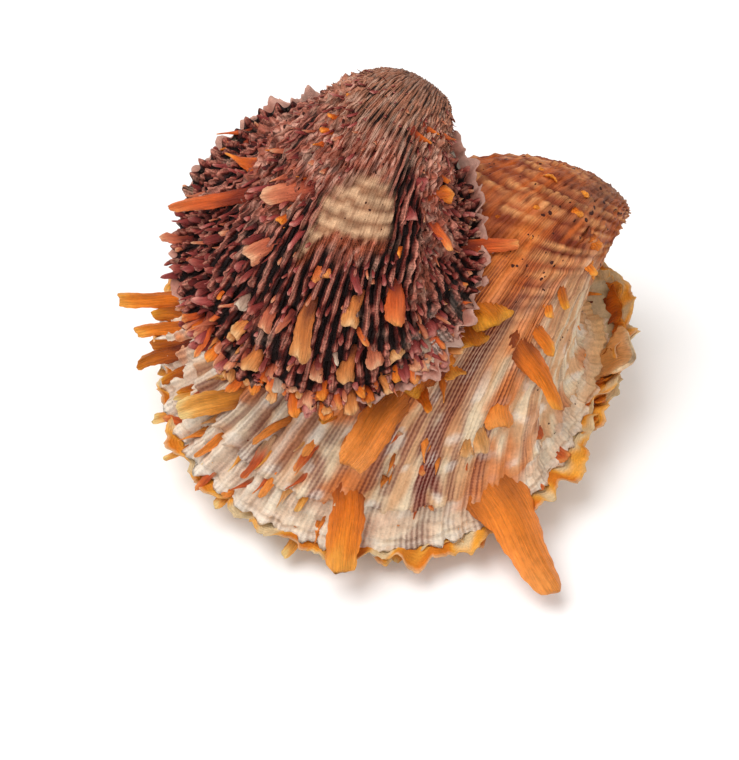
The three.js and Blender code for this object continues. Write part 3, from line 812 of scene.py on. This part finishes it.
strips = [(0.62, 0.80, 0.93, 7, 30, 1.0, 9), (0.66, 0.84, 0.84, 6, 35, 1.0, 9),
          (0.80, 0.93, 0.93, 7, 28, 1.6, 7), (0.83, 0.92, 0.86, 7, 30, 1.8, 5),
          (0.14, 0.3, 0.94, 5, 30, 0.9, 6), (0.28, 0.46, 0.93, 6, 35, 1.1, 7),
          (0.4, 0.52, 0.9, 9, 40, 1.3, 5), (0.5, 0.64, 0.88, 7, 40, 1.3, 5),
          (0.9, 1.05, 0.92, 4, 25, 0.8, 6)]
frills("small_lower_frills", SMALL_LOWER, strips, "#b87a68",
       [("#84362c", lambda q, n: 0.8 * smooth(-0.5, 0.5, n + 0.5 * (0.6 - q))),
        ("#dcae9c", lambda q, n: 0.7 * smooth(0.5, 1.0, q + 0.3 * n)),
        ("#8a8276", lambda q, n: 0.5 * smooth(0.8, 1.6, n))],
       chalk, 66)

# --- Small upper valve -------------------------------------------------------------------------
# The domed, purple-brown half of the small shell: close ribs, each carrying rows of thin scales,
# with painted shade, nearly black, between them and a painted pinkish highlight on their crests.
# A patch near the top is worn down to tan growth lines, and a pinkish crust of lime lies round it.

SMALL_UPPER = {**SMALL, "reach": (39, 40), "beak": (13.5, 53, 87), "slant": 0, "turn": 115, "curl": 2.2,
               "widen": 0.8, "swell": 5}
# Rough ribbed calcite, matt, more mottled with dirt and wear than the large shell's, and with darker
# painted shade between its riblets and growth lines. Its riblets are drawn 1.1 mm apart and its
# growth lines 0.5 mm apart.
SMALL_EDGE = math.tau * SMALL_UPPER["reach"][0]
thorny = shell_material("purple_brown_ribbed_shell", SMALL_EDGE, 1.065, 78, 0.52, groove=0.5,
                        mottle=0.3, bump=0.9, roughness=0.6, pinholes=2.38)
around, grown = grid(120, 1.1, 0.03)
RIBS = 62
sway = 0.003 * ripple(around, 0 * grown, 9, 0, 71) + 0.0022 * ripple(around, grown, 22, 9, 69)
phase = RIBS * (around + sway)
rib = (0.5 + 0.5 * np.cos(2 * np.pi * phase)) ** 1.3
jag = ripple(around, grown, RIBS, 34, 72, 60)
tan_across = (away(around, 0.026) + 0.004 * ripple(around, grown, 30, 12, 70)) / 0.078
tan_low = 0.49 + 0.075 * smooth(0.35, 1.0, tan_across) + 0.004 * ripple(around, 0 * grown, 60, 0, 73)
tan_top = 0.385 + 0.07 * tan_across ** 2
tan = ((1 - smooth(0.7, 1.05, np.abs(tan_across) + 0.08 * ripple(around, grown, 70, 40, 66)))
       * (1 - smooth(-0.004, 0.004, grown - tan_low))
       * smooth(-0.026, 0.02, grown - tan_top + 0.006 * ripple(around, grown, 60, 20, 67)))
crust = smooth(-0.15, 0.7, ripple(around, grown, 7, 3, 74) + 1.1 - 6 * np.abs(grown - 0.36))
crust = crust * (1 - tan) * smooth(0.2, 0.28, grown)
beads = 0.5 + 0.5 * np.sin(2 * np.pi * (58 * grown + 0.5 * np.round(phase)
                                        + 0.6 * ripple(around, grown, 30, 10, 65)))
tan_lines = np.sin(2 * np.pi * (84 * grown + 0.10 * ripple(around, grown, 40, 6, 86)))
tan_ribs = np.cos(2 * np.pi * 180 * (around + sway))
height = (1.6 * rib * (0.55 + 0.45 * jag + 0.4 * beads) * smooth(0.05, 0.55, grown)
          * (1 - 0.9 * tan) * (1 - 0.5 * crust)
          + tan * (1.3 + 0.14 * tan_lines + 0.1 * tan_ribs)
          + 0.8 * crust * ripple(around, grown, 110, 44, 75, 60)
          + 0.25 * (1 - tan) * ripple(around, grown, 150, 60, 68, 60)
          + 0.9 * ripple(around, grown, 16, 6, 76) * smooth(0.2, 0.5, grown) * (1 - tan)
          + leaves(grown + 0.01 * ripple(around, grown, 16, 1, 77), [(0.5, 0.5), (0.66, 0.8), (0.8, 0.8),
                                                                    (0.92, 0.9)], 0.02))
jut = smooth(0.98, 1.0, grown) * 1.4 * rib
pinkish = ripple(around, grown, 30, 12, 78)
# Partly painted light: the near-black ground between the ribs is painted shade and the pale pink on their
# crests a painted highlight; the purple-brown and red between are the ribs' own colour.
tone = paint(np.broadcast_to(colour("#1c0806"), (*grown.shape, 3)),
             ("#541a14", smooth(0.2, 0.75, rib + 0.2 * jag)),
             ("#a23e32", 0.9 * smooth(0.45, 0.95, rib + 0.3 * jag + 0.3 * pinkish)),
             ("#de927c", 0.8 * smooth(0.7, 1.2, rib + 0.35 * jag + 0.3 * pinkish)),
             ("#b4644e", 0.85 * crust),
             ("#ecb09a", 0.9 * crust * smooth(0.0, 0.9, ripple(around, grown, 80, 34, 79, 50))),
             ("#451810", 0.75 * crust * smooth(0.2, 0.9, ripple(around, grown, 70, 36, 80, 50))),
             ("#c48466", 0.85 * (1 - smooth(0.24, 0.4, grown)) * smooth(0.1, 0.6, rib + 0.4 * jag + 0.2)),
             ("#e0b49c", 0.7 * (1 - smooth(0.3, 0.42, grown))
              * smooth(0.2, 1.0, ripple(around, grown, 50, 22, 84))),
             ("#7c5240", 0.5 * (1 - smooth(0.12, 0.24, grown))),
             ("#c89e88", 0.6 * smooth(0.7, 1.4, ripple(around, grown, 26, 9, 81))
              * smooth(0.1, 0.8, rib + 0.3 * jag)),
             ("#e0c4b4", 0.8 * np.exp(-(away(around, 0.872) / 0.035) ** 2) * smooth(0.74, 0.86, grown)
              * smooth(-0.6, 0.4, pinkish)),
             ("#96684a", tan),
             ("#d8ae88", 0.8 * tan * smooth(-0.7, 0.5, tan_lines)),
             ("#7a4a30", 0.4 * tan * smooth(0.4, 1.2, ripple(around, grown, 90, 30, 85))),
             ("#b35a38", 0.75 * np.exp(-((grown - tan_low - 0.012) / 0.012) ** 2)
              * (np.abs(tan_across) < 0.9)))
holes = np.clip(0.9 * crust * smooth(-0.4, 0.6, ripple(around, grown, 20, 8, 82)) + 0.5 * tan, 0, 1)
carried = {"fine": (0.9 - 0.86 * tan - 0.4 * crust) * smooth(0.05, 0.4, grown), "bored": holes}
small_upper_wall = wall("small_upper_wall", SMALL_UPPER, around, grown, height, jut, carried, tone,
                        thorny)
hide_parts("small_upper_valve")

# Thin scales of the same shell as the wall, drier than the orange spines.
scaly = spine_material("purple_and_orange_scales", bump=0.9, roughness=0.5, glow=0.02)
SMALL_PALETTES = {
    "orange": ("#822608", "#d65a1e", "#e88040", "#e8a058"),
    "salmon": ("#702014", "#c06040", "#dc8c64", "#e8b088"),
    "tan": ("#74300e", "#cc7434", "#de9858", "#e6b480"),
    "purple": ("#300806", "#701c18", "#a04236", "#c87c6a"),
    "plum": ("#440e0e", "#8c2e2a", "#be6058", "#da9686"),
    "ash": ("#5a3224", "#a88470", "#ceb098", "#e0ccb4"),
    "bright": ("#842404", "#cc5808", "#e87818", "#ee9438"),
}
# Spines and scales placed one by one.
small_placed = [
    ("blade", 0.25, 0.591, 23, 5.5, 26, 0.39, -0.02, "orange"),
    ("blade", 0.152, 0.458, 13.5, 6.8, 26, 0.79, 0.0, "salmon"),
    ("thorn", 0.29, 0.562, 13, 5, 30, 0.79, -0.05, "bright"),
    ("thorn", 0.415, 0.93, 11, 2.2, 30, -1.3, -0.1, "orange"),
    ("scale", 0.14, 0.567, 11, 5.5, 32, 0.47, 0.0, "salmon"),
    ("scale", 0.06, 0.545, 8, 7, 42, -0.5, -0.2, "orange"),
    ("scale", 0.92, 0.611, 13, 6.4, 34, 0.14, 0.05, "orange"),
    ("scale", 0.983, 0.616, 10, 4.6, 34, 0.23, 0.0, "tan"),
    ("blade", 0.973, 0.675, 8, 3, 34, -0.3, 0.0, "orange"),
    ("scale", 0.048, 0.641, 17, 5.4, 30, -0.12, -0.05, "tan"),
    ("blade", 0.762, 0.9, 16, 5, 20, -0.47, 0.03, "orange"),
    ("blade", 0.853, 0.508, 11, 4, 32, -0.34, -0.03, "orange"),
    ("scale", 0.86, 0.44, 9, 4.5, 32, -1.9, 0.0, "bright"),
    ("scale", 0.125, 0.769, 7, 4, 34, 0.15, 0.0, "tan"),
    ("scale", 0.1, 0.69, 8, 4, 34, -0.16, 0.0, "salmon"),
    ("blade", 0.07, 0.68, 7, 2.2, 34, 0.28, 0.0, "salmon"),
    ("scale", 0.93, 0.783, 8.5, 7.2, 34, -0.42, 0.0, "tan"),
    ("scale", 0.95, 0.769, 8, 4.8, 34, 0.0, 0.0, "salmon"),
    ("scale", 0.978, 0.778, 10, 4.8, 34, 0.21, 0.0, "tan"),
    ("scale", 0.018, 0.798, 7, 3.8, 34, 0.0, 0.0, "salmon"),
    ("scale", 0.062, 0.892, 7, 5.4, 32, -0.13, 0.0, "ash"),
    ("scale", 0.045, 0.892, 5.5, 4.8, 32, -0.3, 0.0, "salmon"),
    ("scale", 0.095, 0.823, 9, 4.8, 32, 0.0, 0.0, "tan"),
    ("scale", 0.117, 0.97, 6, 3.8, 30, -0.1, 0.0, "tan"),
    ("blade", 0.158, 0.931, 9, 2.8, 30, -0.44, 0.0, "orange"),
    ("blade", 0.005, 0.744, 6, 1.8, 36, -0.34, 0.0, "ash"),
    ("blade", 0.175, 0.769, 4, 2.2, 34, -0.37, 0.0, "bright"),
    ("scale", 0.142, 0.709, 6, 3.8, 34, -0.16, 0.0, "ash"),
    ("blade", 0.003, 0.547, 8.5, 2.8, 36, -0.39, 0.0, "plum"),
    ("blade", 0.925, 0.503, 6, 2, 36, 0.49, 0.0, "bright"),
    ("blade", 0.113, 0.488, 6, 2.4, 34, 0.39, 0.0, "plum"),
    ("blade", 0.105, 0.508, 8, 2, 34, 0.07, 0.0, "plum"),
    ("thorn", 0.948, 0.27, 5, 2.6, 30, -2.2, 0.0, "bright"),
    ("thorn", 0.87, 0.29, 6, 2.6, 30, -2.0, 0.0, "bright"),
    ("thorn", 0.97, 0.291, 6, 3.8, 34, -1.6, 0.0, "bright"),
    ("scale", 0.925, 0.434, 6, 3.8, 34, -0.14, 0.0, "plum"),
    ("blade", 0.855, 0.389, 5, 2.2, 34, -0.9, 0.0, "bright"),
    ("scale", 0.935, 0.375, 5.5, 3.6, 34, -1.4, 0.0, "plum"),
    ("thorn", 0.34, 0.72, 9, 4, 24, 0.3, 0.0, "plum"),
    ("thorn", 0.31, 0.8, 10, 4, 22, 0.2, 0.0, "salmon"),
    ("thorn", 0.285, 0.86, 9, 3.5, 20, 0.1, 0.1, "plum"),
    ("blade", 0.265, 0.93, 9, 4, 22, 0.3, 0.0, "salmon"),
    ("thorn", 0.39, 0.85, 8, 3.5, 20, -0.8, 0.0, "bright"),
    ("thorn", 0.44, 0.9, 7, 4, 30, -0.6, 0.0, "plum"),
    ("knob", 0.185, 0.36, 3.5, 2.5, 60, 0.2, 0.0, "bright"),
    ("knob", 0.2, 0.335, 3, 2, 60, 0.2, 0.0, "bright"),
    ("thorn", 0.17, 0.379, 4, 2.2, 40, 0.5, 0.0, "bright"),
    ("thorn", 0.268, 0.478, 4.5, 2.4, 36, 0.45, 0.0, "bright"),
    ("thorn", 0.16, 0.439, 3.5, 2.2, 40, 0.6, 0.0, "bright"),
    ("knob", 0.21, 0.286, 2.4, 1.8, 60, 0.4, 0.0, "bright"),
    ("scale", 0.15, 0.517, 4, 3.6, 40, 0.0, 0.0, "bright"),
]
# Along every rib the scales come at each pause in growth, larger on the later shell.
rng = np.random.default_rng(90)
small_scattered = []
for number in range(RIBS):
    stage = rng.uniform(0.2, 0.26)
    while stage < 0.99:
        spot = number / RIBS + rng.normal(0, 0.0012)
        wear_and_groove_shade = abs(away(spot, 0.018)) < 0.06 and 0.36 < stage < 0.5
        if not wear_and_groove_shade and rng.random() < 0.85:
            size = (0.35 + 0.65 * stage) * rng.uniform(0.7, 1.35)
            late = stage > 0.8 and abs(away(spot, 0)) < 0.2
            look = rng.choice(["purple", "plum", "plum", "salmon", "tan", "orange"] if late else
                              ["purple", "purple", "purple", "plum", "plum", "salmon"])
            kind = rng.choice(["blade", "blade", "thorn", "scale", "scale"])
            size *= (1 + 0.5 * math.exp(-((spot - 0.2) / 0.07) ** 2)
                     - 0.45 * math.exp(-((spot - 0.42) / 0.12) ** 2))
            small_scattered.append((kind, spot, stage, size * rng.uniform(2.4, 6.4),
                                    size * rng.uniform(1.2, 2.3), rng.uniform(16, 50),
                                    rng.normal(0, 0.2) + 0.25 * math.sin(2 * math.pi * spot),
                                    rng.uniform(-0.12, 0.12), look))
        stage += rng.uniform(0.018, 0.058)
# More crowd the front edge, and whitish ones stand at the right of it.
for _ in range(60):
    spot = rng.uniform(-0.14, 0.17)
    small_scattered.append((rng.choice(["scale", "scale", "blade"]), spot, rng.uniform(0.86, 0.985),
                            rng.uniform(4.5, 8.5), rng.uniform(2.6, 4.8), rng.uniform(18, 36),
                            rng.normal(0, 0.2), 0.0,
                            rng.choice(["tan", "salmon", "orange", "bright", "salmon", "plum"])))
for _ in range(22):
    small_scattered.append(("scale", rng.uniform(0.845, 0.9), rng.uniform(0.78, 0.98),
                            rng.uniform(4, 6.5), rng.uniform(3.2, 5), rng.uniform(20, 40),
                            rng.normal(0, 0.3), 0.0, rng.choice(["ash", "plum", "salmon"])))
spines("small_upper_main_spines", SMALL_UPPER, small_placed, 22, 22, SMALL_PALETTES, scaly,
       91)
spines("small_upper_scales", SMALL_UPPER, small_scattered, 8, 8, SMALL_PALETTES, scaly,
       92)

# --- Floor, light and camera -------------------------------------------------------------------
# A sheet of white paper under the shells, a broad soft light overhead and a weaker one from the
# front. From here on sizes are in metres.

HALF = 3
floor_mesh = bpy.data.meshes.new("floor")
floor_mesh.from_pydata([(-HALF, -HALF, 0), (HALF, -HALF, 0), (HALF, HALF, 0), (-HALF, HALF, 0)], [],
                       [(0, 1, 2, 3)])
# Uncoated paper, flat white and matt.
white = new_material("white_paper")
paper = add(white, "BsdfPrincipled", {"Base Color": (*colour("#ffffff"), 1), "Roughness": 0.9})
add(white, "OutputMaterial", {}, {"Surface": paper.outputs[0]})
floor_mesh.materials.append(white)
floor = bpy.data.objects.new("floor", floor_mesh)
bpy.context.scene.collection.objects.link(floor)

scene = bpy.context.scene
scene.view_settings.view_transform = "Standard"
world = bpy.data.worlds.new("studio")
world.use_nodes = True
world.node_tree.nodes["Background"].inputs["Color"].default_value = (1, 0.975, 0.95, 1)
world.node_tree.nodes["Background"].inputs["Strength"].default_value = 0.62
scene.world = world
target = Vector((-0.00225, -0.01571, 0.039))
for name, spot, size, power in (("overhead", (-0.35, -0.1, 1.1), 0.7, 9.0),
                                ("front", (0.5, -1.0, 0.7), 0.7, 2.0)):
    lamp = bpy.data.lights.new(name, "AREA")
    lamp.size = size
    lamp.energy = power
    light = bpy.data.objects.new(name, lamp)
    light.location = spot
    light.rotation_euler = (target - light.location).to_track_quat("-Z", "Y").to_euler()
    scene.collection.objects.link(light)

lens = bpy.data.cameras.new("camera")
lens.lens = 92
lens.sensor_width = 36
camera = bpy.data.objects.new("camera", lens)
DISTANCE = 0.52
elevation = math.radians(50)
camera.location = target + DISTANCE * Vector((0, -math.cos(elevation), math.sin(elevation)))
camera.rotation_euler = (target - camera.location).to_track_quat("-Z", "Y").to_euler()
scene.collection.objects.link(camera)
scene.camera = camera
